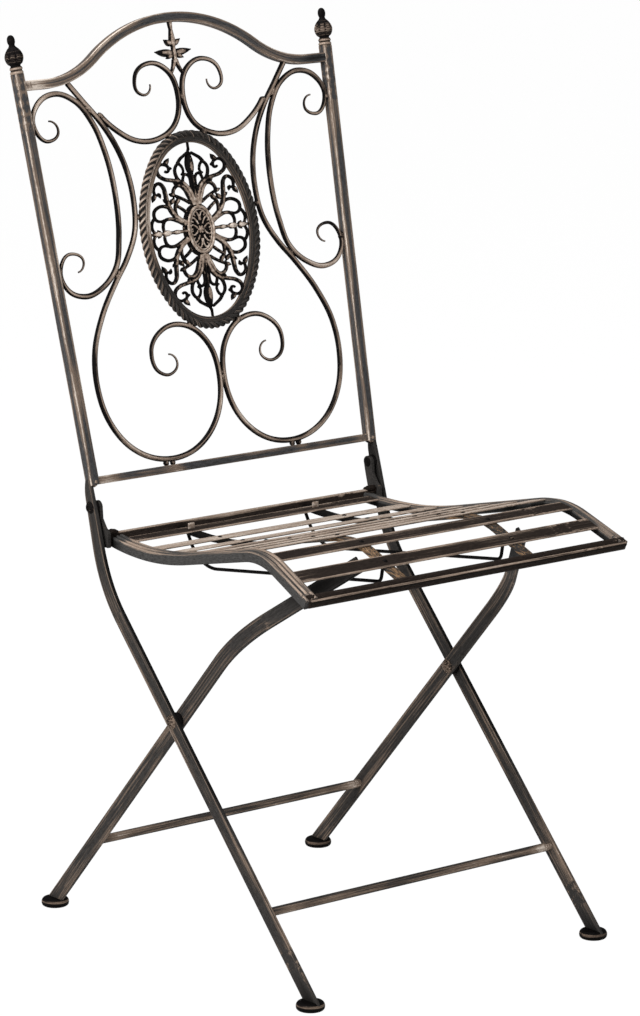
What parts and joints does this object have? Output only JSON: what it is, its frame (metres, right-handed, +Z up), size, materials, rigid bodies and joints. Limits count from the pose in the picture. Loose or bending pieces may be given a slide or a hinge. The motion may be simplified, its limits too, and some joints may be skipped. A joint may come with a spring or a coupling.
{
  "type": "folding garden chair",
  "caption": "Folding garden chair in brushed painted iron, with crossing bar legs, a wavy slatted seat and a leaning scroll back around an oval cast medallion.",
  "frame": {"origin": "On the ground, at the middle of the chair's width and depth", "axes": "X runs across the chair, the front of the seat faces -Y, Z is up"},
  "size_m": [0.423, 0.4978, 0.9283],
  "materials": {
    "frame_iron": "charcoal paint with tan brushed edges",
    "scroll_iron": "near-black paint with tan streaks along the rod",
    "cast_ornament": "dark paint with antique bronze rubbed on the raised parts",
    "slat_iron": "tan brushed over charcoal, streaks along the bar",
    "foot_iron": "dark bronze paint",
    "hardware": "dark paint over steel"
  },
  "bodies": {
    "back_frame": {"stile_left": "frame_iron", "stile_right": "frame_iron", "top_rail": "frame_iron", "bottom_rail": "frame_iron", "finial_left": "cast_ornament", "finial_right": "cast_ornament", "lyre_scroll_left": "scroll_iron", "lyre_scroll_right": "scroll_iron", "side_scroll_left": "scroll_iron", "side_scroll_right": "scroll_iron", "heart_scroll_left": "scroll_iron", "heart_scroll_right": "scroll_iron", "weld_tabs": "scroll_iron", "medallion_rope": "cast_ornament", "medallion_band": "cast_ornament", "medallion_boss": "cast_ornament", "medallion_filigree": "cast_ornament", "crest_fleur": "cast_ornament", "front_leg_left": "frame_iron", "front_leg_right": "frame_iron", "front_foot_left": "foot_iron", "front_foot_right": "foot_iron", "front_stretcher": "frame_iron", "leg_rivets": "hardware", "leg_spacers": "hardware", "seat_screws": "hardware", "seat_nuts": "hardware", "seat_washers": "hardware"},
    "rear_legs": {"rear_leg_left": "frame_iron", "rear_leg_right": "frame_iron", "rear_foot_left": "foot_iron", "rear_foot_right": "foot_iron", "rear_stretcher": "frame_iron", "slide_pins": "hardware"},
    "seat": {"seat_rail_left": "frame_iron", "seat_rail_right": "frame_iron", "seat_front_rail": "frame_iron", "seat_rear_rail": "frame_iron", "slat_1": "slat_iron", "slat_2": "slat_iron", "slat_3": "slat_iron", "slat_4": "slat_iron", "slat_5": "slat_iron", "slat_6": "slat_iron", "slat_7": "slat_iron", "slat_8": "slat_iron", "slat_9": "slat_iron", "slat_rivets": "hardware", "support_bar_left": "slat_iron", "support_bar_right": "slat_iron", "guide_wire_left": "scroll_iron", "guide_wire_right": "scroll_iron", "hinge_ear_left": "frame_iron", "hinge_ear_right": "frame_iron"}
  },
  "joints": [
    {"name": "seat_fold", "type": "hinge", "parent": "back_frame", "child": "seat", "pos_m": [0, 0.135, 0.4445], "axis": [-1, 0, 0], "range_deg": [0, 90]},
    {"name": "rear_leg_fold", "type": "hinge", "parent": "back_frame", "child": "rear_legs", "pos_m": [0, 0, 0.2463], "axis": [-1, 0, 0], "range_deg": [0, 64.62]}
  ],
  "couplings": [
    {"joint": "rear_leg_fold", "follows": "seat_fold", "ratio": 0.718}
  ]
}
